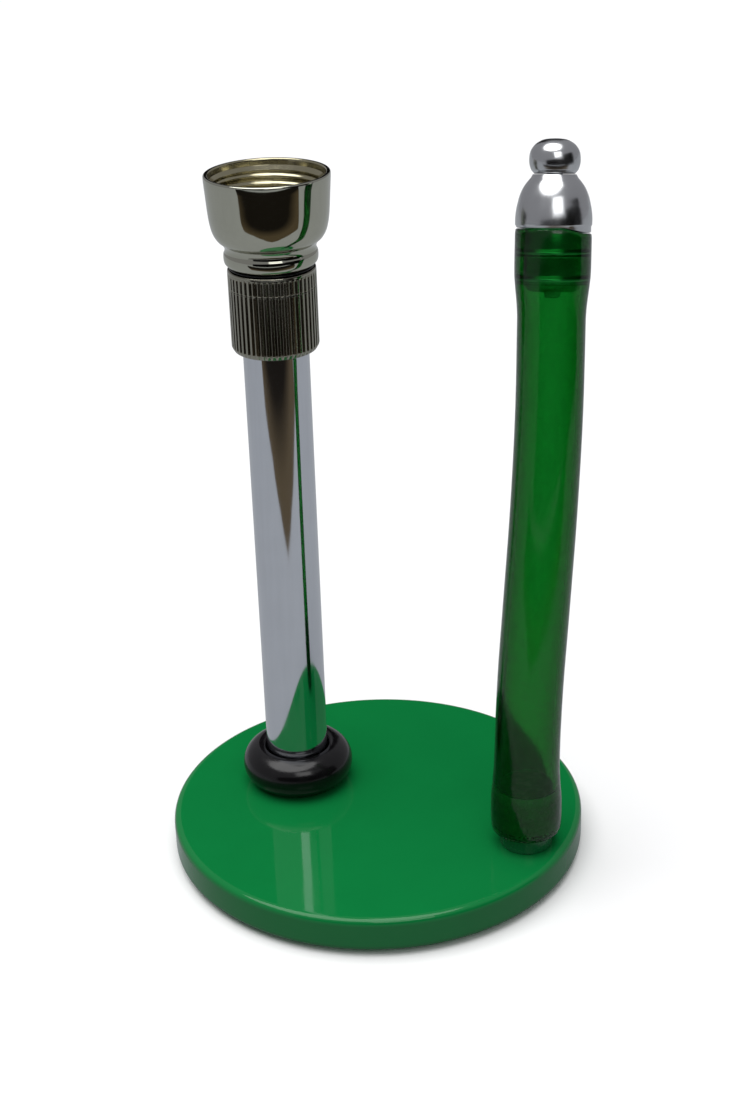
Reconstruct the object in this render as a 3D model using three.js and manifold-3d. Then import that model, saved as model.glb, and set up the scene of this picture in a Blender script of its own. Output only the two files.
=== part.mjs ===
import * as THREE from 'three';
import { mergeVertices } from 'three/addons/utils/BufferGeometryUtils.js';
import Module from 'manifold-3d';

// A countertop paper towel holder. The roll stands on a round base over a rigid chrome post,
// and a springy piece of hose holds it from outside. Lengths are in millimetres, +Z is up,
// the object stands on the plane z = 0, and the post and the arm's foot stand in the plane y = 0.

const wasm = await Module();
wasm.setup();

// Driving dimensions.
const GAP = 0.3; // clearance between pieces that touch or turn on each other
const BASE_RADIUS = 75;
const BASE_THICKNESS = 12.7;
const BASE_EDGE_RADIUS = 2;
const FOOT_RADIUS = 6;
const FOOT_HEIGHT = 1.5;
const FOOT_CIRCLE_RADIUS = 56;
const POST_TO_CENTRE = 34;
const ARM_TO_CENTRE = 60.5;
const TUBE_RADIUS = 11.3;
const TUBE_WALL = 1.2;
const TUBE_HEIGHT = 196.4;
const RING_RADIUS = 20.4;
const RING_HEIGHT = 15.5;
const COLLAR_RADIUS = 14.9;
const COLLAR_FOOT = 170.7; // height of the collar's lower edge
const COLLAR_TOP = 199;
const FLUTES = 48;
const FLUTE_DEPTH = 0.7;
const CUP_FOOT = 200.1;
const CUP_TOP = 230.8;
const CUP_RADIUS = 20.9;
const HOSE_WALL = 2.35;
const HOSE_FOOT = 6.8;
const HOSE_TOP = 217.9;
const FLEX_HEIGHT = 22; // height of the centre about which the free length of hose flexes
const SPLIT_RADIUS = 14.6; // radius of the ball surface between the two lengths of hose
const TIP_RADIUS = 12.2;
const SCREW_RADIUS = 2.5;
const SCREW_HEAD_RADIUS = 4.4;
const SCREW_HEAD_HEIGHT = 3.6;

// Heights and places that follow from them.
const BASE_BOTTOM = FOOT_HEIGHT + GAP;
const BASE_TOP = BASE_BOTTOM + BASE_THICKNESS;

const COLOURS = {
  green: { color: 0x0d7a3c, roughness: 0.08, metalness: 0 },
  hose: { color: 0x0f6a26, roughness: 0.3, metalness: 0 },
  spigot: { color: 0x0c4a22, roughness: 0.3, metalness: 0 },
  chrome: { color: 0xc9cdd2, roughness: 0.06, metalness: 1 },
  nickel: { color: 0xaeb2b6, roughness: 0.22, metalness: 1 },
  steel: { color: 0x9a9ea2, roughness: 0.35, metalness: 1 },
  rubber: { color: 0x17131a, roughness: 0.35, metalness: 0 },
  clear: { color: 0xd8dcdc, roughness: 0.4, metalness: 0 },
};

function piece(name, geometry, look) {
  const mesh = new THREE.Mesh(geometry, new THREE.MeshStandardMaterial(COLOURS[look]));
  mesh.name = name;
  return mesh;
}

// Points of an arc about (r, h), from one angle to another in degrees.
function arc(r, h, radius, from, to, steps) {
  return Array.from({ length: steps + 1 }, (_, i) => {
    const a = THREE.MathUtils.degToRad(from + ((to - from) * i) / steps);
    return [r + radius * Math.cos(a), h + radius * Math.sin(a)];
  });
}

// Turns a profile of [radius, height] points about the Z axis. The profile runs up the outside.
function turned(profile, sides) {
  const points = profile.map(([r, h]) => new THREE.Vector2(Math.max(r, 0), h));
  return new THREE.LatheGeometry(points, sides).rotateX(Math.PI / 2);
}

// The same for a ring: the profile closes on itself.
function turnedRing(profile, sides) {
  return turned([...profile, profile[0]], sides);
}

function disc(radius, from, to, sides = 32) {
  return turned([[0, from], [radius, from], [radius, to], [0, to]], sides);
}

function washer(inner, outer, from, to, sides = 32) {
  return turnedRing([[inner, from], [outer, from], [outer, to], [inner, to]], sides);
}

// A hexagonal prism across the given flats.
function hexagon(acrossFlats, from, to) {
  return disc(acrossFlats / Math.sqrt(3), from, to, 6);
}

function solid(geometry) {
  const plain = geometry.clone();
  plain.deleteAttribute('normal');
  plain.deleteAttribute('uv');
  const merged = mergeVertices(plain, 1e-4);
  const corners = [];
  for (let i = 0; i < merged.index.count; i += 3) {
    const [a, b, c] = [0, 1, 2].map((k) => merged.index.getX(i + k));
    if (a !== b && b !== c && c !== a) corners.push(a, b, c);
  }
  return new wasm.Manifold(new wasm.Mesh({
    numProp: 3,
    vertProperties: new Float32Array(merged.attributes.position.array),
    triVerts: new Uint32Array(corners),
  }));
}

function cut(body, ...tools) {
  const left = tools.reduce((rest, tool) => rest.subtract(solid(tool)), solid(body));
  const mesh = left.getMesh();
  const geometry = new THREE.BufferGeometry();
  geometry.setAttribute('position', new THREE.BufferAttribute(mesh.vertProperties, 3));
  geometry.setIndex(new THREE.BufferAttribute(mesh.triVerts, 1));
  geometry.computeVertexNormals();
  return geometry;
}

// --- Base -------------------------------------------------------------------------------------

const BORE_RADIUS = SCREW_RADIUS + GAP;
const RECESS_RADIUS = 7.5;
const RECESS_DEPTH = 6.4;

function baseDisc() {
  const e = BASE_EDGE_RADIUS;
  const body = turned([
    [0, BASE_BOTTOM],
    ...arc(BASE_RADIUS - e, BASE_BOTTOM + e, e, -90, 0, 3),
    ...arc(BASE_RADIUS - e, BASE_TOP - e, e, 0, 90, 3),
    [0, BASE_TOP],
  ], 72);
  const holes = [-POST_TO_CENTRE, ARM_TO_CENTRE].flatMap((x) => [
    disc(BORE_RADIUS, BASE_BOTTOM - 1, BASE_TOP + 1).translate(x, 0, 0),
    disc(RECESS_RADIUS, BASE_BOTTOM - 1, BASE_BOTTOM + RECESS_DEPTH).translate(x, 0, 0),
  ]);
  return cut(body, ...holes);
}

function foot() {
  const edge = 0.5;
  return turned([
    [0, 0],
    [FOOT_RADIUS - 2 * edge, 0],
    [FOOT_RADIUS, edge],
    [FOOT_RADIUS, FOOT_HEIGHT],
    [0, FOOT_HEIGHT],
  ], 24);
}

// A socket-head screw that points up, with its head in a recess under the base.
const WASHER_THICKNESS = 1.2;
const SCREW_SEAT = BASE_BOTTOM + RECESS_DEPTH - 2 * GAP - WASHER_THICKNESS;

function screw(tip) {
  const bevel = 0.5;
  const bottom = SCREW_SEAT - SCREW_HEAD_HEIGHT;
  const body = turned([
    [0, bottom],
    [SCREW_HEAD_RADIUS - bevel, bottom],
    [SCREW_HEAD_RADIUS, bottom + bevel],
    [SCREW_HEAD_RADIUS, SCREW_SEAT],
    [SCREW_RADIUS, SCREW_SEAT],
    [SCREW_RADIUS, tip - bevel],
    [SCREW_RADIUS - bevel, tip],
    [0, tip],
  ], 24);
  return cut(body, hexagon(4, bottom - 1, bottom + 2.2));
}

function screwWasher() {
  const bottom = SCREW_SEAT + GAP;
  return washer(BORE_RADIUS, RECESS_RADIUS - 1, bottom, bottom + WASHER_THICKNESS, 28);
}

// --- Post: heights from here on are above the top of the base ------------------------------------

const SCREW_REACH = 12; // how far a screw goes into the post or the arm

function postFootPlug() {
  const radius = TUBE_RADIUS - TUBE_WALL - GAP;
  const body = disc(radius, GAP, 20, 28);
  return cut(body, disc(BORE_RADIUS, -1, SCREW_REACH + 1.5, 20));
}

function postTube() {
  return washer(TUBE_RADIUS - TUBE_WALL, TUBE_RADIUS, GAP, TUBE_HEIGHT, 48);
}

// A thick rubber ring of oval section, bored to fit over the tube.
function rubberRing() {
  const bore = TUBE_RADIUS + GAP;
  const width = 7.5; // half the oval's width, which its bore cuts into
  const height = (RING_HEIGHT - GAP) / 2;
  const oval = arc(0, 0, 1, -94, 94, 10).map(([across, up]) => {
    return [RING_RADIUS - width + width * across, GAP + height + height * up];
  });
  return turnedRing([[bore, GAP + 1], ...oval, [bore, RING_HEIGHT - 1]], 36);
}

// --- Fluted collar ------------------------------------------------------------------------------

const SNAP_RING_FOOT = 172.8;
const SNAP_RING_HEIGHT = 1.3;
const SNAP_RING_RADIUS = 12.5;
const COLLAR_BORE = TUBE_RADIUS + GAP;
const COLLAR_SHOULDER = TUBE_HEIGHT - 0.4; // where the bore widens for the top plug's flange
const FLANGE_RADIUS = 12.7;
const FLUTE_TOP = 197.7;
const SCRIBED_LINE = 192.8;

function collarSnapRing() {
  return washer(COLLAR_BORE, SNAP_RING_RADIUS, SNAP_RING_FOOT, SNAP_RING_FOOT + SNAP_RING_HEIGHT, 28);
}

// Every second column of points in the fluted band is pressed in, so the flutes run up and down.
function flutedCollar() {
  const r = COLLAR_RADIUS;
  const round = 1.8;
  const lip = 0.6;
  const lower = SNAP_RING_FOOT + SNAP_RING_HEIGHT + GAP;
  const band = [COLLAR_FOOT + 1, FLUTE_TOP + 0.05];
  const geometry = turnedRing([
    [SNAP_RING_RADIUS + GAP, COLLAR_FOOT],
    ...arc(r - round, COLLAR_FOOT + round, round, -70, 0, 2),
    [r, SCRIBED_LINE - 0.2],
    [r - 0.25, SCRIBED_LINE],
    [r, SCRIBED_LINE + 0.2],
    [r, FLUTE_TOP],
    [r - 0.15, FLUTE_TOP + 0.3],
    ...arc(r - 0.15 - lip, COLLAR_TOP - lip, lip, 0, 90, 2),
    [FLANGE_RADIUS + GAP, COLLAR_TOP],
    [FLANGE_RADIUS + GAP, COLLAR_SHOULDER],
    [COLLAR_BORE, COLLAR_SHOULDER],
    [COLLAR_BORE, lower],
    [SNAP_RING_RADIUS + GAP, lower],
  ], 2 * FLUTES);
  const position = geometry.attributes.position;
  for (let i = 0; i < position.count; i += 1) {
    const [x, y, z] = [position.getX(i), position.getY(i), position.getZ(i)];
    const column = Math.round((Math.atan2(y, x) / Math.PI) * FLUTES);
    const onFlute = Math.hypot(x, y) > FLANGE_RADIUS + 1 && z > band[0] && z < band[1];
    if (onFlute && column % 2 !== 0) {
      const shrink = 1 - FLUTE_DEPTH / COLLAR_RADIUS;
      position.setXY(i, x * shrink, y * shrink);
    }
  }
  geometry.computeVertexNormals();
  return geometry;
}

// --- Cup ----------------------------------------------------------------------------------------

const STUD_RADIUS = 3;
const STUD_TOP = 207.4;
const THREAD_PITCH = 2.75;
const THREAD_TURNS = 4;

// The plug closes the tube, its flange keeps the collar down and its stud holds the cup.
function postTopPlug() {
  const radius = TUBE_RADIUS - TUBE_WALL - GAP;
  return turned([
    [0, TUBE_HEIGHT - 20],
    [radius - 1, TUBE_HEIGHT - 20],
    [radius, TUBE_HEIGHT - 19],
    [radius, TUBE_HEIGHT + GAP],
    [FLANGE_RADIUS, TUBE_HEIGHT + GAP],
    [FLANGE_RADIUS, COLLAR_TOP],
    [STUD_RADIUS, COLLAR_TOP],
    [STUD_RADIUS, STUD_TOP - 0.6],
    [STUD_RADIUS - 0.6, STUD_TOP],
    [0, STUD_TOP],
  ], 32);
}

function cupGasket() {
  return washer(STUD_RADIUS + GAP, COLLAR_RADIUS - 0.6, COLLAR_TOP + GAP, CUP_FOOT - GAP, 40);
}

// A bell on a round foot with a waist between them. The thread inside its mouth stands in as
// rings of its true pitch and depth.
function threadedCup() {
  const crest = CUP_RADIUS - 2.8;
  const root = crest + 0.7;
  const threadFoot = 216;
  const threadTop = threadFoot + THREAD_TURNS * THREAD_PITCH;
  const thread = Array.from({ length: THREAD_TURNS }, (_, i) => {
    const top = threadTop - i * THREAD_PITCH;
    return [[crest, top], [root, top - 0.9], [crest, top - 1.9]];
  }).flat();
  const blindTop = STUD_TOP + 0.8;
  return turned([
    [0, blindTop],
    [STUD_RADIUS + GAP, blindTop],
    [STUD_RADIUS + GAP, CUP_FOOT],
    [14.4, CUP_FOOT],
    [15.6, CUP_FOOT + 1.2],
    [15.95, CUP_FOOT + 2.6],
    [15.85, CUP_FOOT + 4.2],
    [15.3, CUP_FOOT + 5],
    [15.2, CUP_FOOT + 6.1],
    [15.75, 207.3],
    [16.6, 208.5],
    [17.6, 209.4],
    [18.7, 211.2],
    [19.4, 213.3],
    [20, 217],
    [20.5, 223.5],
    [CUP_RADIUS, CUP_TOP - 1.6],
    ...arc(CUP_RADIUS - 0.75, CUP_TOP - 0.75, 0.75, 20, 160, 3),
    [root + 0.2, CUP_TOP - 2.2],
    [root, threadTop + 0.9],
    ...thread,
    [crest, threadFoot - 0.8],
    [16.9, 212.2],
    [15.1, 210.8],
    [0, 210.4],
  ], 36);
}

// --- Hose arm: sizes along it are lengths of its centreline ---------------------------------------

const BARB_STEP = 5.4;
const BARBS = 3;

// The spigot stands on the base by its plain neck and grips the hose by its barbs.
function hoseSpigot() {
  const neck = 9.1;
  const firstBarb = HOSE_FOOT + 2;
  const barbs = Array.from({ length: BARBS }, (_, i) => {
    const foot = firstBarb + i * BARB_STEP;
    return [[neck - 0.5, foot], [neck + 0.6, foot + 0.3], [neck - 0.6, foot + BARB_STEP - 0.6]];
  }).flat();
  const top = firstBarb + BARBS * BARB_STEP;
  const body = turned([
    [0, GAP],
    [neck, GAP],
    [neck, HOSE_FOOT - GAP],
    [neck - 0.5, HOSE_FOOT],
    ...barbs,
    [neck - 2, top],
    [0, top],
  ], 32);
  return cut(body, disc(BORE_RADIUS, -1, SCREW_REACH + 1.5, 20));
}

// Outer radius of the hose: swollen over the spigot and over the tip's shank.
const hoseOutline = new THREE.SplineCurve([
  [12.3, 8.2], [12.45, 12], [12.35, 19], [11.75, 26.5], [11.35, 38], [11.25, 82], [11.05, 134],
  [11, 182], [11.1, 192], [11.9, 200.2], [12.2, 204.7], [12.2, 216.4],
].map(([r, h]) => new THREE.Vector2(r, h)));

function hoseRadius(h) {
  const points = hoseOutline.getPoints(240);
  const next = points.findIndex((p) => p.y >= h);
  return next < 0 ? points[points.length - 1].x : points[next].x;
}

// The centreline, from the top of the base: upright in the foot, then bowed to one side.
const centreline = new THREE.CatmullRomCurve3([
  [0, 0, 0], [0, 0, 30], [0.8, 0.6, 62], [2, 2.7, 94], [2.3, 6.9, 126], [1.1, 12.9, 158],
  [-1.6, 19.9, 190], [-3.9, 25.7, 215], [-6.6, 32.2, 243],
].map((p) => new THREE.Vector3(...p)), false, 'catmullrom');

// The point after a length of hose, and the turn from upright to the hose's direction there.
function along(length) {
  const share = length / centreline.getLength();
  const up = new THREE.Vector3(0, 0, 1);
  const turn = new THREE.Quaternion().setFromUnitVectors(up, centreline.getTangentAt(share));
  return { point: centreline.getPointAt(share), turn };
}

function bowed(geometry) {
  const position = geometry.attributes.position;
  for (let i = 0; i < position.count; i += 1) {
    const { point, turn } = along(position.getZ(i));
    const across = new THREE.Vector3(position.getX(i), position.getY(i), 0);
    position.setXYZ(i, ...across.applyQuaternion(turn).add(point));
  }
  geometry.computeVertexNormals();
  return geometry;
}

// Height on a ball about the flexing centre, at a radius from the axis.
function onBall(ballRadius, r) {
  return FLEX_HEIGHT + Math.sqrt(ballRadius ** 2 - r ** 2);
}

function hoseLength(heights, ends) {
  const outer = heights.map((h) => [hoseRadius(h), h]);
  const inner = heights.map((h) => [hoseRadius(h) - HOSE_WALL, h]).reverse();
  return turnedRing([...ends.foot, ...outer, ...ends.top, ...inner], 26);
}

// The end of the hose that stays on the spigot.
function hoseEnd() {
  const outer = hoseRadius(FLEX_HEIGHT + 10);
  const inner = outer - HOSE_WALL;
  const middle = (outer + inner) / 2;
  return bowed(hoseLength([HOSE_FOOT + 1.4, 12, 19, 26.5], {
    foot: [[10.4, HOSE_FOOT], [11.7, HOSE_FOOT]],
    top: [outer, middle, inner].map((r) => [r, onBall(SPLIT_RADIUS, r)]),
  }));
}

// The free length of the hose, up to the tip.
function hose() {
  const outer = hoseRadius(FLEX_HEIGHT + 10);
  const inner = outer - HOSE_WALL;
  const middle = (outer + inner) / 2;
  const lengths = [38, 55, 72, 89, 106, 123, 140, 157, 174, 192, 196, 200.2, 204.7, 216.4];
  return bowed(hoseLength(lengths, {
    foot: [inner, middle, outer].map((r) => [r, onBall(SPLIT_RADIUS + GAP, r)]),
    top: [[11.7, HOSE_TOP], [10.4, HOSE_TOP]],
  }));
}

// Heights from here on are above the cut top of the hose, square to its direction there.
const CAP_TOP = 16.9;
const KNOB_STUD_DEPTH = 7;

// A bell cap with a ribbed shank that the hose grips.
function hoseTip() {
  const shank = 8.7;
  const rib = 0.7;
  const shankFoot = -19.6;
  const nibFoot = -21.7;
  const ribs = [-15.8, -7.5].flatMap((h) => [[shank, h - 1], [shank + rib, h], [shank, h + 1]]);
  const body = turned([
    [0, nibFoot],
    [2.4, nibFoot],
    [2.8, shankFoot - 0.4],
    [shank - 1.4, shankFoot],
    [shank, shankFoot + 1.6],
    ...ribs,
    [shank, GAP],
    [TIP_RADIUS - 0.4, GAP],
    [TIP_RADIUS, GAP + 0.6],
    [TIP_RADIUS, 3.4],
    [11.95, 5.8],
    [11.5, 8],
    [10.9, 10.3],
    [9.9, 12.6],
    [8.7, 14.4],
    [7.5, 15.8],
    [6.9, CAP_TOP],
    [0, CAP_TOP],
  ], 30);
  return cut(body, disc(SCREW_RADIUS + GAP, CAP_TOP - KNOB_STUD_DEPTH - 1, CAP_TOP + 1, 20));
}

// A flattened ball on a stud.
function tipKnob() {
  const foot = CAP_TOP + GAP;
  const ball = [[6.3, 0], [7.4, 1], [7.95, 2.6], [8.1, 4.6], [7.65, 7], [6.2, 9], [4, 10.3]];
  return turned([
    [0, CAP_TOP - KNOB_STUD_DEPTH],
    [SCREW_RADIUS, CAP_TOP - KNOB_STUD_DEPTH],
    [SCREW_RADIUS, foot],
    ...ball.map(([r, h]) => [r, foot + h]),
    [0, foot + 10.8],
  ], 28);
}

// --- Assembly -----------------------------------------------------------------------------------

const holder = new THREE.Group();

const base = new THREE.Group();
base.add(piece('base_disc', baseDisc(), 'green'));
for (let i = 0; i < 4; i += 1) {
  const mesh = piece(`foot_pad_${i + 1}`, foot(), 'clear');
  const angle = Math.PI / 4 + (i * Math.PI) / 2;
  mesh.position.set(FOOT_CIRCLE_RADIUS * Math.cos(angle), FOOT_CIRCLE_RADIUS * Math.sin(angle), 0);
  base.add(mesh);
}

const post = new THREE.Group();
post.position.set(-POST_TO_CENTRE, 0, BASE_TOP);
post.add(
  piece('post_screw', screw(BASE_TOP + SCREW_REACH).translate(0, 0, -BASE_TOP), 'steel'),
  piece('post_washer', screwWasher().translate(0, 0, -BASE_TOP), 'steel'),
  piece('post_foot_plug', postFootPlug(), 'steel'),
  piece('post_tube', postTube(), 'chrome'),
  piece('rubber_ring', rubberRing(), 'rubber'),
  piece('collar_snap_ring', collarSnapRing(), 'steel'),
  piece('fluted_collar', flutedCollar(), 'nickel'),
  piece('post_top_plug', postTopPlug(), 'steel'),
  piece('cup_gasket', cupGasket(), 'rubber'),
  piece('threaded_cup', threadedCup(), 'chrome'),
);

const arm = new THREE.Group();
arm.position.set(ARM_TO_CENTRE, 0, BASE_TOP);
arm.add(
  piece('arm_screw', screw(BASE_TOP + SCREW_REACH).translate(0, 0, -BASE_TOP), 'steel'),
  piece('arm_washer', screwWasher().translate(0, 0, -BASE_TOP), 'steel'),
  piece('hose_spigot', hoseSpigot(), 'spigot'),
  piece('hose_end', hoseEnd(), 'hose'),
  piece('hose', hose(), 'hose'),
);

const tip = new THREE.Group();
const hoseEndFrame = along(HOSE_TOP);
tip.position.copy(hoseEndFrame.point);
tip.quaternion.copy(hoseEndFrame.turn);
tip.add(piece('hose_tip', hoseTip(), 'chrome'), piece('tip_knob', tipKnob(), 'chrome'));
arm.add(tip);

holder.add(base, post, arm);

export default holder;
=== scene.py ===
"""Looks of a countertop paper towel holder: a green base, a chrome post with a ring, a fluted
collar and a threaded cup, and a springy arm of green hose with a chrome tip."""

import math
from bisect import bisect
from collections import namedtuple

import bmesh
import bpy
from mathutils import Matrix, Vector


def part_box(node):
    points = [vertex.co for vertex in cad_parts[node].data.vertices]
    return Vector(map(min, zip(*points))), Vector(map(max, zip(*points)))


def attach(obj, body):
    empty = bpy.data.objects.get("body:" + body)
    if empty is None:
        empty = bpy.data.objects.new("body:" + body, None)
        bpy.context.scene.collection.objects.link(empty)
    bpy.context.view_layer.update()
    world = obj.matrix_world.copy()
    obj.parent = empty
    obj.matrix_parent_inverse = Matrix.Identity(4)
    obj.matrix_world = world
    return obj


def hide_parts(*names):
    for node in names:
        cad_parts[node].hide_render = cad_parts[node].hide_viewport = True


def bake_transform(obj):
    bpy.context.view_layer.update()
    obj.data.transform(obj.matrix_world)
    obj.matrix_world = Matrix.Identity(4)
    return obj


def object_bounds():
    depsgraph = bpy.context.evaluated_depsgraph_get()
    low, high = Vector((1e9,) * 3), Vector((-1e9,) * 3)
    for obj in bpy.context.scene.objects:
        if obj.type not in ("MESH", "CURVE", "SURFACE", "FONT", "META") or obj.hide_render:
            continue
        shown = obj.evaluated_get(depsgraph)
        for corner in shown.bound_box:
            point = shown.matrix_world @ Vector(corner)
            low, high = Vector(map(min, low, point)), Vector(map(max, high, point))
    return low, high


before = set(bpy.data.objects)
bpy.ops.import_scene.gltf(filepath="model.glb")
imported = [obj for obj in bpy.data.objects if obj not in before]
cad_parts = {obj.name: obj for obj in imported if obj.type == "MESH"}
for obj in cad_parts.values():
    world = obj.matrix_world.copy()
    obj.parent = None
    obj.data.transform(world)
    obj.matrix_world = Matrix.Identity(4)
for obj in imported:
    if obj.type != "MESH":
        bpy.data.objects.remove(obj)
cad_low, cad_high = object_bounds()

MM = 0.001  # every outline below is in millimetres


# --- Camera -------------------------------------------------------------------------------------

CAMERA_PLACE = Vector((293.3, -501.8, 390.2)) * MM
CAMERA_TURN = math.radians(30.4)
CAMERA_DIP = math.radians(25.24)
CAMERA_ROLL = math.radians(-1.94)
CAMERA_LENS = 60.65
SENSOR = 36.0

camera = bpy.data.objects.new("camera", bpy.data.cameras.new("camera"))
bpy.context.scene.collection.objects.link(camera)
bpy.context.scene.camera = camera
camera.data.sensor_width = SENSOR
camera.data.lens = CAMERA_LENS
camera.data.clip_start = 0.02
camera.data.clip_end = 20.0
camera.matrix_world = (
    Matrix.Translation(CAMERA_PLACE)
    @ Matrix.Rotation(CAMERA_TURN, 4, "Z")
    @ Matrix.Rotation(math.radians(90) - CAMERA_DIP, 4, "X")
    @ Matrix.Rotation(CAMERA_ROLL, 4, "Z")
)


# --- Materials ----------------------------------------------------------------------------------

class Look:
    """A Principled material whose colour, roughness and relief vary over the surface."""

    def __init__(self, name, **sockets):
        self.material = bpy.data.materials.new(name)
        self.material.use_nodes = True
        self.tree = self.material.node_tree
        self.shader = self.tree.nodes["Principled BSDF"]
        for socket, value in sockets.items():
            self.shader.inputs[socket.replace("_", " ")].default_value = value
        self.place = self.add("ShaderNodeTexCoord").outputs["Object"]
        self.relief = None

    def add(self, kind, inputs=None, **settings):
        node = self.tree.nodes.new(kind)
        for name, value in settings.items():
            setattr(node, name, value)
        for name, value in (inputs or {}).items():
            if isinstance(value, bpy.types.NodeSocket):
                self.tree.links.new(value, node.inputs[name])
            else:
                node.inputs[name].default_value = value
        return node

    def noise(self, size, detail=3.0, stretch=(1, 1, 1), turn=(0, 0, 0)):
        """Cloudy noise with features of about the given size in mm, longer along a stretched axis."""
        scale = Vector([1 / s for s in stretch])
        mapped = self.add("ShaderNodeMapping", {
            "Vector": self.place, "Scale": scale, "Rotation": [math.radians(a) for a in turn],
        })
        return self.add("ShaderNodeTexNoise", {
            "Vector": mapped.outputs["Vector"], "Scale": 1 / (size * MM), "Detail": detail,
        }).outputs["Fac"]

    def ranged(self, value, low, high, start=0.3, end=0.7):
        """The value, with start to end stretched to low to high. Noise is mostly 0.3 to 0.7."""
        return self.add("ShaderNodeMapRange", {
            "Value": value, "From Min": start, "From Max": end, "To Min": low, "To Max": high,
        }).outputs["Result"]

    def tint(self, value, dark, light):
        """Colours the surface from dark to light, by a value of 0 to 1."""
        mix = self.add("ShaderNodeMix", data_type="RGBA")
        self.tree.links.new(value, mix.inputs["Factor"])
        colours = [s for s in mix.inputs if s.type == "RGBA"]
        colours[0].default_value = (*dark, 1)
        colours[1].default_value = (*light, 1)
        result = next(s for s in mix.outputs if s.type == "RGBA")
        self.tree.links.new(result, self.shader.inputs["Base Color"])
        return self

    def rough(self, value, low, high):
        ranged = self.ranged(value, low, high)
        self.tree.links.new(ranged, self.shader.inputs["Roughness"])
        return self

    def bump(self, height, depth, strength=1.0):
        """Relief of the given depth in mm, added to what is there."""
        inputs = {"Height": height, "Distance": depth * MM, "Strength": strength}
        if self.relief is not None:
            inputs["Normal"] = self.relief
        self.relief = self.add("ShaderNodeBump", inputs).outputs["Normal"]
        self.tree.links.new(self.relief, self.shader.inputs["Normal"])
        return self


def shades(colour, spread):
    """A darker and a lighter version of a colour."""
    return [tuple(min(1.0, c * k) for c in colour) for k in (1 - spread, 1 + spread)]


def acrylic(name, colour):
    """Polished sheet with faint smears and hairline scratches."""
    look = Look(name, IOR=1.49, Specular_IOR_Level=0.3)
    look.tint(look.noise(18, 2), *shades(colour, 0.05))
    smears = look.noise(5, 5, stretch=(6, 1, 1), turn=(0, 0, 35))
    look.rough(smears, 0.03, 0.09)
    look.bump(look.noise(14, 1), 0.015)
    scratches = look.noise(0.25, 2, stretch=(40, 1, 1), turn=(0, 0, -20))
    look.bump(look.ranged(scratches, 0, 1, 0.68, 0.76), 0.003, 0.5)
    return look


def plated(name, colour, low, high, wave=0.004):
    """A polished plated metal: faint clouding, rubbed marks and a little waviness."""
    look = Look(name, Metallic=1.0)
    look.tint(look.noise(9, 3), *shades(colour, 0.04))
    look.rough(look.noise(4, 6, stretch=(1, 1, 5)), low, high)
    look.bump(look.noise(11, 1), wave)
    marks = look.noise(0.3, 2, stretch=(1, 1, 30), turn=(25, 0, 0))
    look.bump(look.ranged(marks, 0, 1, 0.66, 0.76), 0.002, 0.5)
    return look


def brushed(name, colour):
    look = Look(name, Metallic=1.0)
    look.tint(look.noise(1.5, 5), *shades(colour, 0.12))
    look.rough(look.noise(0.8, 4), 0.25, 0.45)
    look.bump(look.noise(0.25, 2, stretch=(1, 12, 1)), 0.006)
    return look


def rubber(name, colour):
    look = Look(name, Specular_IOR_Level=0.35)
    look.tint(look.noise(6, 3), *shades(colour, 0.25))
    look.rough(look.noise(3, 5), 0.14, 0.24)
    look.bump(look.noise(0.35, 3), 0.008)
    look.bump(look.noise(7, 1), 0.03)
    return look


def moulded(name, colour):
    look = Look(name)
    look.tint(look.noise(5, 3), *shades(colour, 0.1))
    look.rough(look.noise(2, 4), 0.18, 0.32)
    look.bump(look.noise(0.5, 2), 0.0015)
    return look


def soft_tube(name, colour, stain, density):
    """Clear vinyl that absorbs light through its thickness, with faint extruder lines."""
    look = Look(name, Transmission_Weight=1.0, IOR=1.36)
    look.tint(look.noise(10, 3, stretch=(1, 1, 6)), *shades(colour, 0.05))
    look.rough(look.noise(3, 4, stretch=(1, 1, 8)), 0.06, 0.16)
    look.bump(look.noise(0.9, 2, stretch=(1, 1, 60)), 0.01)
    look.bump(look.noise(9, 1), 0.04)
    depth = look.add("ShaderNodeVolumeAbsorption", {"Color": (*stain, 1), "Density": density})
    output = look.tree.nodes["Material Output"]
    look.tree.links.new(depth.outputs["Volume"], output.inputs["Volume"])
    return look


def clear_pad(name, colour):
    look = Look(name, Transmission_Weight=0.7, IOR=1.45)
    look.tint(look.noise(2, 3), *shades(colour, 0.05))
    look.rough(look.noise(1, 4), 0.25, 0.4)
    look.bump(look.noise(0.6, 2), 0.01)
    return look


BASE_GREEN = acrylic("green_acrylic", (0.004, 0.178, 0.041))
TUBE_CHROME = plated("tube_chrome", (0.58, 0.6, 0.64), 0.04, 0.1)
CUP_CHROME = plated("cup_chrome", (0.42, 0.42, 0.35), 0.03, 0.08)
# Inside the cup's mouth: the plating with a brass tint, and darker as painted shade in the hollow.
CUP_BRASS_AND_SHADE = plated("cup_inner_brass_and_shade", (0.4, 0.37, 0.25), 0.1, 0.2)
TIP_CHROME = plated("tip_chrome", (0.52, 0.53, 0.54), 0.18, 0.26)
NICKEL = plated("collar_nickel", (0.29, 0.28, 0.23), 0.08, 0.18)
STEEL = brushed("machined_steel", (0.5, 0.51, 0.52))
RUBBER = rubber("black_rubber", (0.004, 0.0036, 0.0042))
SPIGOT_GREEN = moulded("spigot_plastic", (0.004, 0.12, 0.034))
# A lighter copy of the spigot's plastic for its barbed part inside the hose: painted light, so that
# it does not show dark through the vinyl.
SPIGOT_PAINTED_LIGHT = moulded("spigot_painted_light", (0.07, 0.38, 0.15))
HOSE_GREEN = soft_tube("green_vinyl", (0.75, 0.94, 0.8), (0.08, 0.64, 0.28), 1200)
BUMPER = clear_pad("clear_bumper", (0.75, 0.77, 0.77))


# --- Mesh tools ---------------------------------------------------------------------------------

FILLET_STEPS = 6
Place = namedtuple("Place", "axis foot top radius")


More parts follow.
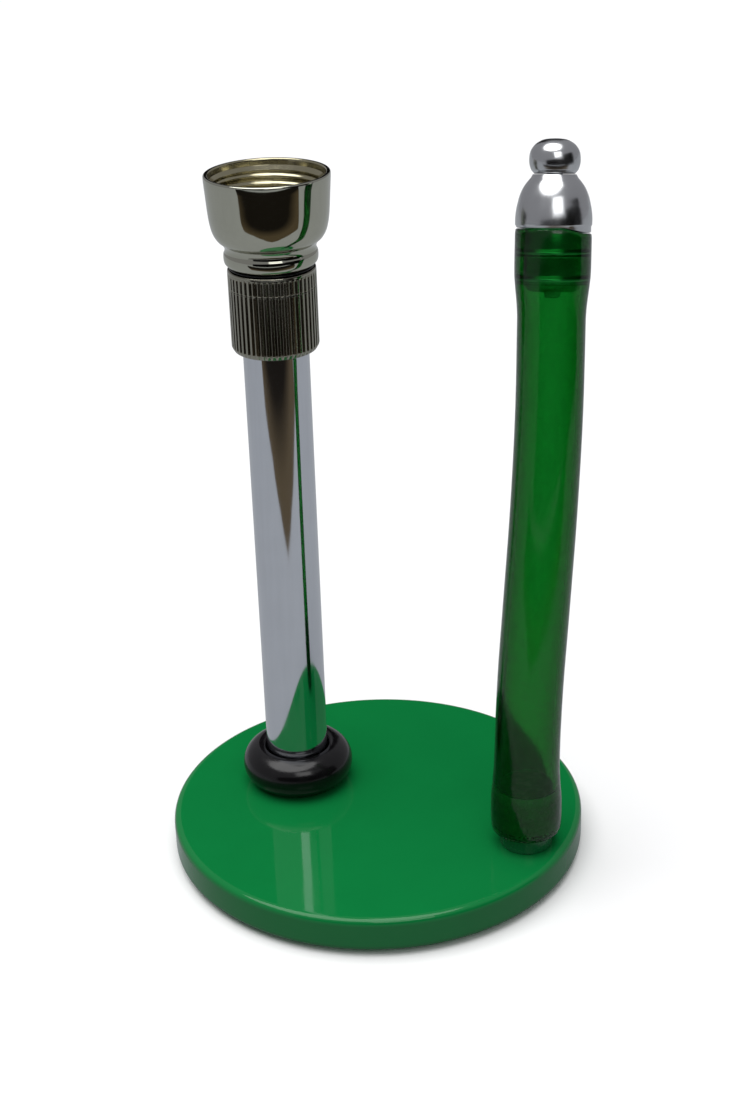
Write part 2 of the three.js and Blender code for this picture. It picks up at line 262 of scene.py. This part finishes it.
def place(node):
    """Where an upright CAD node stands, in millimetres."""
    low, high = (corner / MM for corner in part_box(node))
    axis = Vector(((low.x + high.x) / 2, (low.y + high.y) / 2, 0))
    return Place(axis, low.z, high.z, (high.y - low.y) / 2)


def rounded(outline, closed=False):
    """Points (radius, height, fillet) as plain points, each corner rounded by its fillet."""
    points = []
    for i, (r, h, *fillet) in enumerate(outline):
        corner = Vector((r, h))
        if not fillet or (not closed and i in (0, len(outline) - 1)):
            points.append(corner)
            continue
        back = Vector(outline[i - 1][:2]) - corner
        ahead = Vector(outline[(i + 1) % len(outline)][:2]) - corner
        reach = fillet[0] / math.tan(back.angle(ahead) / 2)
        start = corner + back.normalized() * min(reach, 0.49 * back.length)
        end = corner + ahead.normalized() * min(reach, 0.49 * ahead.length)
        for k in range(FILLET_STEPS + 1):
            t = k / FILLET_STEPS
            points.append(start * (1 - t) ** 2 + corner * (2 * t * (1 - t)) + end * t**2)
    return points


def curve(knots, steps=6):
    """A smooth line through points (radius, height)."""
    ends = [2 * Vector(knots[0]) - Vector(knots[1]), 2 * Vector(knots[-1]) - Vector(knots[-2])]
    p = [ends[0], *map(Vector, knots), ends[1]]
    line = []
    for i in range(1, len(p) - 2):
        for k in range(steps):
            t = k / steps
            line.append(0.5 * (
                2 * p[i]
                + (p[i + 1] - p[i - 1]) * t
                + (2 * p[i - 1] - 5 * p[i] + 4 * p[i + 1] - p[i + 2]) * t**2
                + (3 * p[i] - p[i - 1] - 3 * p[i + 1] + p[i + 2]) * t**3
            ))
    return [*line, p[-2]]


def smoothstep(x, low, high):
    t = min(1.0, max(0.0, (x - low) / (high - low)))
    return t * t * (3 - 2 * t)


def upright(angle, r, h):
    """The point at that angle, radius and height about a vertical axis."""
    return Vector((r * math.cos(angle), r * math.sin(angle), h))


def lathe(name, seat, outline, sides=96, closed=False, shape=upright):
    """Turns an outline of (radius, height), which runs up the outside, about the axis of its
    seat: a point on an upright axis, or a matrix where the axis is tilted."""
    if not isinstance(seat, Matrix):
        seat = Matrix.Translation(seat)
    mesh = bmesh.new()
    rings = []
    for r, h in outline:
        count = sides if r > 1e-6 else 1
        turns = [2 * math.pi * k / sides for k in range(count)]
        rings.append([mesh.verts.new((seat @ shape(a, r, h)) * MM) for a in turns])
    pairs = list(zip(rings, rings[1:]))
    if closed:
        pairs.append((rings[-1], rings[0]))
    for lower, upper in pairs:
        for k in range(sides):
            n = (k + 1) % sides
            corners = [lower[k % len(lower)], lower[n % len(lower)],
                       upper[n % len(upper)], upper[k % len(upper)]]
            unique = list(dict.fromkeys(corners))
            if len(unique) > 2:
                mesh.faces.new(unique)
    data = bpy.data.meshes.new(name)
    mesh.to_mesh(data)
    mesh.free()
    obj = bpy.data.objects.new(name, data)
    bpy.context.scene.collection.objects.link(obj)
    return obj


def cut(obj, *tools):
    """Takes the tools out of obj, and removes them."""
    for tool in tools:
        modifier = obj.modifiers.new("cut", "BOOLEAN")
        modifier.operation = "DIFFERENCE"
        modifier.solver = "EXACT"
        modifier.object = tool
    bpy.context.view_layer.update()
    evaluated = obj.evaluated_get(bpy.context.evaluated_depsgraph_get())
    data = bpy.data.meshes.new_from_object(evaluated)
    obj.modifiers.clear()
    obj.data = data
    for tool in tools:
        bpy.data.objects.remove(tool)
    return obj


def finished(obj, look, slot, body, *nodes, sharp=None):
    """Shades a piece, gives it its material, and puts it on its body in place of CAD nodes.
    A blended piece has no body of its own here."""
    obj.data.materials.clear()
    obj.data.materials.append(look.material)
    for face in obj.data.polygons:
        face.use_smooth = True
    if sharp is not None:
        obj.data.set_sharp_from_angle(angle=math.radians(sharp))
    weighted = obj.modifiers.new("weighted_normals", "WEIGHTED_NORMAL")
    weighted.keep_sharp = True
    weighted.weight = 90
    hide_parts(*nodes)
    if body is not None:
        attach(obj, body)
    return obj


def partly(obj, look, axis, foot, most_outward=1.0):
    """Gives a second material to the faces above a height that don't face out from the axis
    by more than the given share."""
    obj.data.materials.append(look.material)
    for face in obj.data.polygons:
        away = (face.center / MM - axis).to_2d().normalized()
        if face.center.z / MM > foot and face.normal.to_2d().dot(away) < most_outward:
            face.material_index = 1


# --- Base ---------------------------------------------------------------------------------------

base = place("base_disc")
post = place("post_tube")
arm = place("hose_spigot")
BORE_RADIUS = 2.8
RECESS_RADIUS = 7.5
RECESS_DEPTH = 6.4
EDGE = 2.6  # the polished round of the base's two edges
PAD_SHRINK = 0.02  # keeps a bumper's top just under the base


def recess(axis):
    """A cutter for a screw hole with a wide recess from below."""
    chamfer = 0.5
    deep = base.foot + RECESS_DEPTH
    outline = [
        (0, base.foot - 1),
        (RECESS_RADIUS + 1 + chamfer, base.foot - 1),
        (RECESS_RADIUS, base.foot + chamfer),
        (RECESS_RADIUS, deep, 0.4),
        (BORE_RADIUS, deep, 0.3),
        (BORE_RADIUS, base.top + 1),
        (0, base.top + 1),
    ]
    return lathe("cutter", axis, rounded(outline), sides=64)


def blind_bore(axis, foot, end):
    """A cutter for a screw hole from below, with a drilled point."""
    outline = [(0, foot - 1), (BORE_RADIUS, foot - 1), (BORE_RADIUS, end), (0, end + 1)]
    return lathe("cutter", axis, outline, sides=48)


def base_plate():
    outline = [
        (0, base.foot),
        (base.radius, base.foot, EDGE),
        (base.radius, base.top, EDGE),
        (0, base.top),
    ]
    plate = lathe("base_plate", base.axis, rounded(outline), sides=192)
    return cut(plate, recess(post.axis), recess(arm.axis))


def bumper(number):
    pad = place(f"foot_pad_{number}")
    stuck_to = base.foot - PAD_SHRINK
    outline = [
        (0, pad.foot),
        (0.72 * pad.radius, pad.foot, 1.5),
        (pad.radius, 0.8 * pad.top, 1.0),
        (pad.radius, stuck_to, 0.15),
        (0, stuck_to),
    ]
    return lathe(f"bumper_{number}", pad.axis, rounded(outline), sides=64)


finished(base_plate(), BASE_GREEN, "base_green", "base", "base_disc", sharp=32)
for number in range(1, 5):
    finished(bumper(number), BUMPER, "bumper", "base", f"foot_pad_{number}")


# --- Screws and washers -------------------------------------------------------------------------

HEAD_HEIGHT = 3.6
SHANK_RADIUS = 2.5
SOCKET_FLATS = 4.0
SOCKET_WALL_END, SOCKET_POINT = 2.2, 2.9  # depths of the socket's walls and of its drilled point
KNURLS = 28
KNURL_DEPTH = 0.12
PLAIN_SHANK = 5  # from the head to the first thread
SCREW_POINT = 0.6
THREAD_STEP = 0.8
SCREW_THREAD_DEPTH = 0.35
ROWS_PER_THREAD = 5


def socket_screw(name, node):
    """A socket-head screw that points up, with a knurled head and a true helical thread."""
    at = place(node)
    seat = at.foot + HEAD_HEIGHT
    threads = seat + PLAIN_SHANK
    point = at.top - SCREW_POINT

    def shape(angle, r, h):
        if h < seat - 0.3 and r > at.radius - 0.7:
            fade = smoothstep(h, at.foot + 0.3, at.foot + 1)
            r -= KNURL_DEPTH * (1 + math.cos(KNURLS * angle)) * fade
        if h > threads and r > 1:
            phase = (h / THREAD_STEP - angle / (2 * math.pi)) % 1
            fade = smoothstep(h, threads, threads + 1)
            r -= SCREW_THREAD_DEPTH * abs(2 * phase - 1) * fade
        return upright(angle, r, h)

    head = [(0, at.foot), (at.radius, at.foot, 0.5), (at.radius, seat, 0.2)]
    neck = [(SHANK_RADIUS, seat, 0.2)]
    rows = int((point - threads) / (THREAD_STEP / ROWS_PER_THREAD))
    worm = [(SHANK_RADIUS, threads + k * THREAD_STEP / ROWS_PER_THREAD) for k in range(rows)]
    tip = [(SHANK_RADIUS, point), (SHANK_RADIUS - SCREW_POINT, at.top), (0, at.top)]
    body = lathe(name, at.axis, rounded([*head, *neck, *worm, *tip]), 4 * KNURLS, shape=shape)
    corner = SOCKET_FLATS / math.sqrt(3)
    socket = [
        (0, at.foot - 1),
        (corner, at.foot - 1),
        (corner, at.foot + SOCKET_WALL_END),
        (0, at.foot + SOCKET_POINT),
    ]
    return cut(body, lathe("cutter", at.axis, socket, sides=6))


def flat_washer(name, node, inner, fillet=0.25):
    at = place(node)
    outline = [
        (inner, at.foot, fillet),
        (at.radius, at.foot, fillet),
        (at.radius, at.top, fillet),
        (inner, at.top, fillet),
    ]
    return lathe(name, at.axis, [tuple(p) for p in rounded(outline, True)], 72, closed=True)


for upright_name in ("post", "arm"):
    screw_node, washer_node = f"{upright_name}_screw", f"{upright_name}_washer"
    screw = socket_screw(f"{upright_name}_socket_screw", screw_node)
    finished(screw, STEEL, "steel", "base", screw_node, sharp=40)
    ring = flat_washer(f"{upright_name}_flat_washer", washer_node, BORE_RADIUS)
    finished(ring, STEEL, "steel", "base", washer_node)


# --- Post ---------------------------------------------------------------------------------------

TUBE_WALL = 1.2
GAP = 0.3  # between pieces that touch or turn on each other
PLUG_BORE = 13.5
OVAL_HALF_WIDTH = 7.5  # of the rubber ring's section, which its bore cuts into
OVAL_HALF_ANGLE = 82
OVAL_STEPS = 40
RING_INNER_EDGE = [(1.0, 0.25), (0.3, 0.8), (0, 1.6)]  # out from the bore, in from the end


def post_tube():
    inner = post.radius - TUBE_WALL
    outline = [
        (inner, post.foot, 0.2),
        (post.radius, post.foot, 0.4),
        (post.radius, post.top, 0.4),
        (inner, post.top, 0.2),
    ]
    return lathe("chrome_tube", post.axis, rounded(outline, True), 160, closed=True)


def foot_plug():
    at = place("post_foot_plug")
    outline = [(0, at.foot), (at.radius, at.foot, 0.5), (at.radius, at.top, 0.8), (0, at.top)]
    plug = lathe("foot_plug", at.axis, rounded(outline), 72)
    return cut(plug, blind_bore(at.axis, at.foot, at.foot + PLUG_BORE))


def cushion_ring():
    """A thick rubber ring of oval section, bored to fit over the tube."""
    at = place("rubber_ring")
    bore = post.radius + GAP
    half = (at.top - at.foot) / 2
    oval = []
    for k in range(OVAL_STEPS + 1):
        a = math.radians(OVAL_HALF_ANGLE * (2 * k / OVAL_STEPS - 1))
        across, up = OVAL_HALF_WIDTH * math.cos(a), half * math.sin(a)
        oval.append((at.radius - OVAL_HALF_WIDTH + across, at.foot + half + up))
    foot_edge = [(bore + across, at.foot + up) for across, up in reversed(RING_INNER_EDGE)]
    top_edge = [(bore + across, at.top - up) for across, up in RING_INNER_EDGE]
    outline = [*foot_edge, *oval, *top_edge]
    return lathe("cushion_ring", at.axis, outline, 128, closed=True)


finished(post_tube(), TUBE_CHROME, "chrome", "base", "post_tube")
finished(foot_plug(), STEEL, "steel", "base", "post_foot_plug", sharp=40)
finished(cushion_ring(), RUBBER, "black_rubber", "base", "rubber_ring")


# --- Fluted collar ------------------------------------------------------------------------------

FLUTES = 48
FLUTE_DEPTH = 0.75
COLUMNS_PER_FLUTE = 10
FLUTE_ROWS = 22
BAND_ROWS = 10
COLLAR_WALL = 3.6  # from the tube's surface to the ridges between the flutes
FLUTES_END = 1.1  # below the collar's top
LINE_AT = 6.2  # a scribed line round the collar, below its top
LINE_DEPTH = 0.07
SHOULDER = 0.4  # how far the collar's inner shoulder lies below the end of the tube
FLANGE_RADIUS = 12.7
SNAP_RING_RADIUS = 12.5


def fluted_collar():
    at = place("fluted_collar")
    snap = place("collar_snap_ring")
    r = post.radius + COLLAR_WALL
    bore = post.radius + GAP
    shoulder = post.top - SHOULDER
    band_top = at.top - FLUTES_END
    line = at.top - LINE_AT
    lower = snap.top + GAP
    first, last, after = at.foot + 2.6, line - 0.6, line + 0.4
    flank = [(r, first + (last - first) * k / FLUTE_ROWS) for k in range(FLUTE_ROWS + 1)]
    band = [(r, after + (band_top - after) * k / BAND_ROWS) for k in range(BAND_ROWS + 1)]
    outline = [
        (SNAP_RING_RADIUS + GAP, at.foot, 0.2),
        (r - 0.9, at.foot, 0.5),
        (r, at.foot + 1.6, 0.9),
        *flank,
        (r, line - 0.15),
        (r - LINE_DEPTH, line, 0.03),
        (r, line + 0.15),
        *band,
        (r - 0.05, band_top + 0.15, 0.1),
        (r - 0.05, at.top, 0.6),
        (FLANGE_RADIUS + GAP, at.top, 0.3),
        (FLANGE_RADIUS + GAP, shoulder, 0.1),
        (bore, shoulder, 0.2),
        (bore, lower, 0.2),
        (SNAP_RING_RADIUS + GAP, lower, 0.1),
    ]

    def shape(angle, radius, h):
        if radius > FLANGE_RADIUS + 1.2 and h < band_top + 0.1:  # the outside, below the band
            across = abs(2 * ((FLUTES * angle / (2 * math.pi)) % 1) - 1)
            fade = smoothstep(h, at.foot + 0.2, at.foot + 1.2)
            fade *= 1 - smoothstep(h, band_top - 0.5, band_top)
            radius -= FLUTE_DEPTH * fade * (1 - smoothstep(across, 0.0, 0.5))
        return upright(angle, radius, h)

    columns = FLUTES * COLUMNS_PER_FLUTE
    return lathe("collar", at.axis, rounded(outline, True), columns, closed=True, shape=shape)


finished(fluted_collar(), NICKEL, "nickel", "collar", "fluted_collar")
snap_ring = flat_washer("snap_ring", "collar_snap_ring", post.radius + GAP)
finished(snap_ring, STEEL, "steel", "base", "collar_snap_ring")


# --- Cup ----------------------------------------------------------------------------------------

STUD_RADIUS = 3.0
CUP_FOOT = 0.69  # share of the cup's radius
CUP_BODY = [  # share of the cup's radius, share of its height
    (0.742, 0.039), (0.756, 0.085), (0.752, 0.137), (0.734, 0.163), (0.73, 0.199),  # foot and waist
    (0.752, 0.235), (0.794, 0.269), (0.842, 0.298), (0.895, 0.357),  # the turn into the bell
    (0.928, 0.426), (0.957, 0.548), (0.981, 0.761), (1.0, 0.945),
]
CUP_WELL = [(0.0, 0.331), (0.62, 0.338), (0.74, 0.36), (0.82, 0.41), (0.862, 0.49)]
THREAD_PITCH = 2.75
THREAD_TURNS = 4
THREAD_DEPTH = 0.75
THREAD_ROWS = 14  # rows of faces for each turn
LIP = 1.5  # thickness of the cup's rounded lip


def top_plug():
    at = place("post_top_plug")
    body = post.radius - TUBE_WALL - GAP
    seat = post.top + GAP
    flange_top = place("fluted_collar").top
    outline = [
        (0, at.foot),
        (body, at.foot, 0.8),
        (body, seat, 0.1),
        (FLANGE_RADIUS, seat, 0.2),
        (FLANGE_RADIUS, flange_top, 0.4),
        (STUD_RADIUS, flange_top, 0.2),
        (STUD_RADIUS, at.top, 0.6),
        (0, at.top),
    ]
    return lathe("top_plug", at.axis, rounded(outline), 96)


def threaded_cup():
    """A bell on a round foot, with a true helical thread inside its mouth."""
    at = place("threaded_cup")
    tall = at.top - at.foot
    outer = [(CUP_FOOT * at.radius, at.foot)]
    outer += [(r * at.radius, at.foot + h * tall) for r, h in CUP_BODY]
    well = [(r * at.radius, at.foot + h * tall) for r, h in CUP_WELL]
    crest = well[-1][0]  # the thread is cut out from here
    thread_foot = well[-1][1] + 0.6
    thread_top = thread_foot + THREAD_PITCH * THREAD_TURNS
    rows = THREAD_TURNS * THREAD_ROWS
    wall = [(crest, thread_top - (thread_top - thread_foot) * k / rows) for k in range(rows + 1)]
    blind = place("post_top_plug").top + 0.8
    outline = [
        (0, blind),
        (STUD_RADIUS + GAP, blind, 0.2),
        (STUD_RADIUS + GAP, at.foot, 0.3),
        *curve(outer, 5),
        (at.radius, at.top, 0.7),
        (at.radius - LIP, at.top, 0.7),
        (crest + THREAD_DEPTH + 0.35, at.top - 2.2, 0.3),
        (crest + 0.3, thread_top + 0.5, 0.2),
        *wall,
        *reversed(curve(well, 5)),
    ]

    def shape(angle, r, h):
        if abs(r - crest) < 0.01 and thread_foot < h < thread_top:
            phase = ((h - thread_foot) / THREAD_PITCH - angle / (2 * math.pi)) % 1
            groove = smoothstep(1 - abs(2 * phase - 1), 0.1, 0.85)
            ends = smoothstep(h, thread_foot, thread_foot + 1)
            ends *= 1 - 0.6 * smoothstep(h, thread_top - 0.8, thread_top)
            r += THREAD_DEPTH * groove * ends
        return upright(angle, r, h)

    return lathe("cup", at.axis, rounded(outline), 160, shape=shape)


finished(top_plug(), STEEL, "steel", "base", "post_top_plug")
gasket = flat_washer("gasket", "cup_gasket", STUD_RADIUS + GAP, 0.4)
finished(gasket, RUBBER, "black_rubber", "gasket", "cup_gasket")
cup = finished(threaded_cup(), CUP_CHROME, "chrome", "cup", "threaded_cup")
# The faces inside the cup's mouth take the darker brass-tinted copy: painted shade in the hollow.
partly(cup, CUP_BRASS_AND_SHADE, post.axis, place("post_top_plug").top + 1.5, most_outward=-0.05)


# --- Hose arm -----------------------------------------------------------------------------------

HOSE_WALL = 2.35
HOSE_TOP = 217.9
HOSE_OUTLINE = [  # outer radius, length along the hose from the top of the base
    (12.3, 8.2), (12.45, 12), (12.35, 19), (11.75, 26.5), (11.35, 38), (11.25, 82), (11.05, 134),
    (11, 182), (11.1, 192), (11.9, 200.2), (12.2, 204.7), (12.2, 216.4),
]
HOSE_ROUTE = [  # the centreline: upright in the foot, then bowed to one side
    (0, 0, 0), (0, 0, 30), (0.8, 0.6, 62), (2, 2.7, 94), (2.3, 6.9, 126), (1.1, 12.9, 158),
    (-1.6, 19.9, 190), (-3.9, 25.7, 215), (-6.6, 32.2, 243),
]
SPIGOT_GRIP = 10.3  # the spigot and the tip's shank just press into the wall of the hose
SHANK_GRIP = 9.87
SPIGOT_BORE = 13
NECK_INSET = 0.6  # the neck is this much thinner than the spigot's node
BARBS = 3
BARB_HEIGHT = 0.15
BARB_STEPS = 32
CUT_DROP = 1.5  # how much lower the end of the hose is cut on one side
CUT_SIDE = math.radians(25)  # the direction of that side


def drop(angle, along_hose, reach):
    """How far the out-of-square cut lowers a point that is within reach of the hose's end."""
    low_side = smoothstep(math.cos(angle - CUT_SIDE), 0.2, 0.95)
    return CUT_DROP * low_side * (1 - smoothstep(abs(along_hose), 0, reach))


route = curve(HOSE_ROUTE, 40)
lengths = [0.0]
for here, there in zip(route, route[1:]):
    lengths.append(lengths[-1] + (there - here).length)
headings = [(b - a).normalized() for a, b in zip([route[0], *route], [*route[1:], route[-1]])]


def along(length):
    """The point after a length of hose, and the turn from upright to the hose's heading there."""
    i = bisect(lengths, length)
    share = (length - lengths[i - 1]) / (lengths[i] - lengths[i - 1])
    heading = headings[i - 1].lerp(headings[i], share)
    return route[i - 1].lerp(route[i], share), Vector((0, 0, 1)).rotation_difference(heading)


arm_seat = Matrix.Translation(arm.axis + Vector((0, 0, base.top)))
cut_end, cut_turn = along(HOSE_TOP)
tip_seat = arm_seat @ Matrix.Translation(cut_end) @ cut_turn.to_matrix().to_4x4()


def spigot():
    """It stands on the base by its plain neck and grips the hose by its barbs."""
    neck = arm.radius - NECK_INSET
    hose_foot = place("hose_end").foot
    first, last = hose_foot + 2, arm.top - 1
    barbs = []
    for k in range(BARB_STEPS + 1):
        swell = BARB_HEIGHT * (1 - math.cos(2 * math.pi * BARBS * k / BARB_STEPS)) / 2
        barbs.append((SPIGOT_GRIP + swell, first + (last - first) * k / BARB_STEPS))
    outline = [
        (0, arm.foot),
        (neck, arm.foot, 0.2),
        (neck, hose_foot + 0.3, 0.2),
        (SPIGOT_GRIP, hose_foot + 1.2, 0.2),
        *barbs,
        (neck - 2, arm.top, 0.4),
        (0, arm.top),
    ]
    body = lathe("barbed_spigot", arm.axis, rounded(outline), 96)
    return cut(body, blind_bore(arm.axis, arm.foot, arm.foot + SPIGOT_BORE))


def hose():
    """One length of thick hose from the spigot to the tip."""
    low = place("hose_end").foot - base.top
    outside = curve(HOSE_OUTLINE, 8)
    inside = [(r - HOSE_WALL, h) for r, h in reversed(outside)]
    foot_r, top_r = outside[0][0], outside[-1][0]
    outline = [
        (foot_r - HOSE_WALL + 0.3, low),
        (foot_r - 0.5, low),
        (foot_r - 0.12, low + 0.4),
        *outside,
        (top_r - 0.12, HOSE_TOP - 0.35),
        (top_r - 0.5, HOSE_TOP),
        (top_r - HOSE_WALL + 0.4, HOSE_TOP),
        (top_r - HOSE_WALL + 0.1, HOSE_TOP - 0.3),
        *inside,
        (foot_r - HOSE_WALL + 0.05, low + 0.3),
    ]

    def shape(angle, r, length):
        point, turn = along(length - drop(angle, length - HOSE_TOP, 6))
        return turn @ upright(angle, r, 0) + point

    return lathe("hose_arm", arm_seat, outline, 96, closed=True, shape=shape)


CAP_TOP = 16.9  # above the cut end of the hose, square to its heading there
SHANK_FOOT = -19.6
NIB_FOOT = -21.7
RIM_RADIUS = 11.9
RIBS = (-15.8, -7.5)
RIB_HEIGHT = 0.5
RIB_STEP = 0.3  # between the points of a rib's round section
RIB_HALF = 5  # points on each side of its middle
CAP_DOME = [  # radius, height above the cut end of the hose
    (12.2, 3.4), (11.95, 5.8), (11.5, 8), (10.9, 10.3), (9.9, 12.6), (8.7, 14.4), (7.5, 15.8),
]
CAP_FLAT = 6.9  # radius of the flat that the knob stands on
KNOB_STUD = 7  # how far the knob's stud reaches into the cap
KNOB_NECK = 0.12  # the slit between the cap and the knob
KNOB_BALL = [  # radius, height above the knob's foot
    (7.4, 1), (7.95, 2.6), (8.1, 4.6), (7.65, 7), (6.2, 9), (4, 10.3), (1.9, 10.7), (0, 10.8),
]


def tip_cap():
    """A bell cap with a ribbed shank that the hose grips."""
    shank = SHANK_GRIP
    ribs = []
    for h in RIBS:
        for k in range(-RIB_HALF, RIB_HALF + 1):
            swell = RIB_HEIGHT * (1 + math.cos(math.pi * k / RIB_HALF)) / 2
            ribs.append((shank + swell, h + RIB_STEP * k))
    dome = curve([(CAP_DOME[0][0], GAP + 0.8), *CAP_DOME])
    outline = [
        (0, NIB_FOOT),
        (2.5, NIB_FOOT, 0.6),
        (2.8, SHANK_FOOT - 0.1, 0.3),
        (7.3, SHANK_FOOT, 0.5),
        (8.7, SHANK_FOOT + 0.9, 0.3),
        (shank, SHANK_FOOT + 3.2, 0.3),
        *ribs,
        (shank, -0.8),
        (shank - 1, GAP, 0.2),
        (RIM_RADIUS - 0.3, GAP),
        (RIM_RADIUS, GAP + 0.25),
        (RIM_RADIUS, GAP + 0.6),
        *dome,
        (CAP_FLAT, CAP_TOP, 0.3),
        (0, CAP_TOP),
    ]

    def shape(angle, r, h):
        if r > shank + 1 and h < GAP + 0.5:
            h -= drop(angle, 0, 1)
        return upright(angle, r, h)

    return lathe("tip_cap", tip_seat, rounded(outline), 128, shape=shape)


def knob():
    """A flattened ball on a stud."""
    neck = CAP_TOP + KNOB_NECK
    ball = curve([(r, CAP_TOP + GAP + h) for r, h in KNOB_BALL])
    outline = [
        (0, CAP_TOP - KNOB_STUD),
        (SHANK_RADIUS, CAP_TOP - KNOB_STUD, 0.4),
        (SHANK_RADIUS, neck, 0.1),
        (6.4, neck, 0.25),
        *ball[:-1],
        (0, ball[-1].y),
    ]
    return lathe("knob", tip_seat, rounded(outline), 96)


barbed = finished(spigot(), SPIGOT_GREEN, "spigot_green", "base", "hose_spigot", sharp=45)
# The barbed part inside the hose takes the lighter copy: painted light against the shade inside the
# hose.
partly(barbed, SPIGOT_PAINTED_LIGHT, arm.axis, place("hose_end").foot)
hose_arm = finished(hose(), HOSE_GREEN, "hose_green", None, "hose_end", "hose")
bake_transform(hose_arm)
finished(tip_cap(), TIP_CHROME, "chrome", "arm", "hose_tip")
finished(knob(), TIP_CHROME, "chrome", "arm", "tip_knob")


# --- Floor and light ----------------------------------------------------------------------------

FLOOR_HALF = 4.0  # metres
FLOOR_HEIGHT, TABLE_HEIGHT = -0.0004, -0.0002
SKY_POWER = 2.9
SKY_ANGLE = math.radians(60)
SKY_TILT = (math.radians(8), math.radians(-6), 0)
WINDOW_SIZE = (0.6, 0.45)
WINDOW_POWER = 2.2


def flat_sheet(name, height):
    data = bpy.data.meshes.new(name)
    h = FLOOR_HALF
    data.from_pydata([(-h, -h, 0), (h, -h, 0), (h, h, 0), (-h, h, 0)], [], [(0, 1, 2, 3)])
    obj = bpy.data.objects.new(name, data)
    obj.location.z = height
    bpy.context.scene.collection.objects.link(obj)
    return obj


def unseen(obj, *rays):
    """Hides a stage piece from some kinds of ray."""
    for ray in rays:
        setattr(obj, f"visible_{ray}", False)


# The white floor that shows, and above it a greyer table that shows only in reflections.
paper = Look("floor_paper", Roughness=0.9, Specular_IOR_Level=0.1)
paper.tint(paper.noise(60, 4), (0.93, 0.93, 0.93), (0.95, 0.95, 0.95))
floor = flat_sheet("floor", FLOOR_HEIGHT)
floor.data.materials.append(paper.material)
unseen(floor, "glossy", "diffuse")

grey = Look("table_grey", Roughness=0.9, Specular_IOR_Level=0.1)
grey.tint(grey.noise(90, 3), (0.37, 0.385, 0.4), (0.42, 0.435, 0.455))
table = flat_sheet("table", TABLE_HEIGHT)
table.data.materials.append(grey.material)
unseen(table, "camera", "diffuse", "transmission", "shadow")

# Dark flags round the object, which also show only in reflections.
toward = Vector((CAMERA_PLACE.x, CAMERA_PLACE.y, 0)).normalized()
side = Vector((-toward.y, toward.x, 0))
CLOTH_NEAR, CLOTH_FAR = 0.34, 0.46  # where the cloth's brown edge has turned black


def flag(name, corners, look):
    """A dark sheet, its corners in metres to the right of the post, toward the camera and up."""
    data = bpy.data.meshes.new(name)
    origin = post.axis * MM
    points = [origin + side * x + toward * y + Vector((0, 0, z)) for x, y, z in corners]
    data.from_pydata(points, [], [range(len(points))])
    data.materials.append(look.material)
    obj = bpy.data.objects.new(name, data)
    bpy.context.scene.collection.objects.link(obj)
    unseen(obj, "camera", "diffuse", "shadow", "transmission")


def brown_cloth():
    """Brown near the post, and black farther toward the camera."""
    look = Look("brown_cloth", Roughness=1.0, Specular_IOR_Level=0.0)
    reach = look.add(
        "ShaderNodeVectorMath", {0: look.place, 1: toward}, operation="DOT_PRODUCT"
    ).outputs["Value"]
    start = toward.dot(post.axis * MM)
    fade = look.ranged(reach, 0, 1, start + CLOTH_NEAR, start + CLOTH_FAR)
    return look.tint(fade, (0.1, 0.075, 0.045), (0.012, 0.01, 0.008))


def black_felt():
    look = Look("black_felt", Roughness=1.0, Specular_IOR_Level=0.0)
    return look.tint(look.noise(140, 2), (0.008, 0.008, 0.008), (0.014, 0.013, 0.012))


felt = black_felt()
CLOTH_CORNERS = [  # metres to the right of the post, and toward the camera
    (-1.2, 0.8), (-0.53, 0.39), (-0.334, 0.312), (-0.19, 0.325), (-0.06, 0.295), (0.027, 0.25),
    (0.136, 0.27), (0.285, 0.262), (0.396, 0.235), (0.57, 0.32), (1.4, 0.85),
]
flag("table_cloth", [(x, y, 0) for x, y in CLOTH_CORNERS], brown_cloth())
flag("front_flag", [(-0.9, 1, 0.02), (0.75, 1, 0.02), (0.75, 1, 0.6), (-0.9, 1, 0.45)], felt)
flag("side_flag", [(0.75, 1, 0.02), (1.2, 0.1, 0.02), (1.2, 0.1, 0.7), (0.75, 1, 0.85)], felt)
flag("back_flag", [(-0.3, -1.4, 0.35), (0.5, -1.4, 0.35), (0.5, -1.4, 1.3), (-0.3, -1.4, 1.3)],
     felt)


def lamp(name, kind, power):
    light = bpy.data.lights.new(name, kind)
    light.energy = power
    obj = bpy.data.objects.new(name, light)
    bpy.context.scene.collection.objects.link(obj)
    return obj


overhead = lamp("overhead", "SUN", SKY_POWER)
overhead.data.angle = SKY_ANGLE
overhead.rotation_euler = SKY_TILT

# A window in front, aimed at the middle of the object.
window_offset = toward * 0.9 + side * 0.2 + Vector((0, 0, 0.75))
window = lamp("window", "AREA", WINDOW_POWER)
window.data.shape = "RECTANGLE"
window.data.size, window.data.size_y = WINDOW_SIZE
window.location = (cad_low + cad_high) / 2 + window_offset
window.rotation_euler = (-window_offset).to_track_quat("-Z", "Y").to_euler()

# The world: pale to the camera, grey in reflections, and dim where it lights matt surfaces.
world = bpy.data.worlds.new("studio")
bpy.context.scene.world = world
world.use_nodes = True
tree = world.node_tree
rays = tree.nodes.new("ShaderNodeLightPath")
shown = tree.nodes["Background"]
shown.inputs["Color"].default_value = (0.2, 0.2, 0.21, 1)
for kind, colour in [("Is Glossy Ray", (0.34, 0.34, 0.36, 1)), ("Is Camera Ray", (1, 1, 1, 1))]:
    other = tree.nodes.new("ShaderNodeBackground")
    other.inputs["Color"].default_value = colour
    mix = tree.nodes.new("ShaderNodeMixShader")
    tree.links.new(rays.outputs[kind], mix.inputs[0])
    tree.links.new(shown.outputs[0], mix.inputs[1])
    tree.links.new(other.outputs[0], mix.inputs[2])
    shown = mix
tree.links.new(shown.outputs[0], tree.nodes["World Output"].inputs["Surface"])
bpy.context.scene.view_settings.view_transform = "Standard"
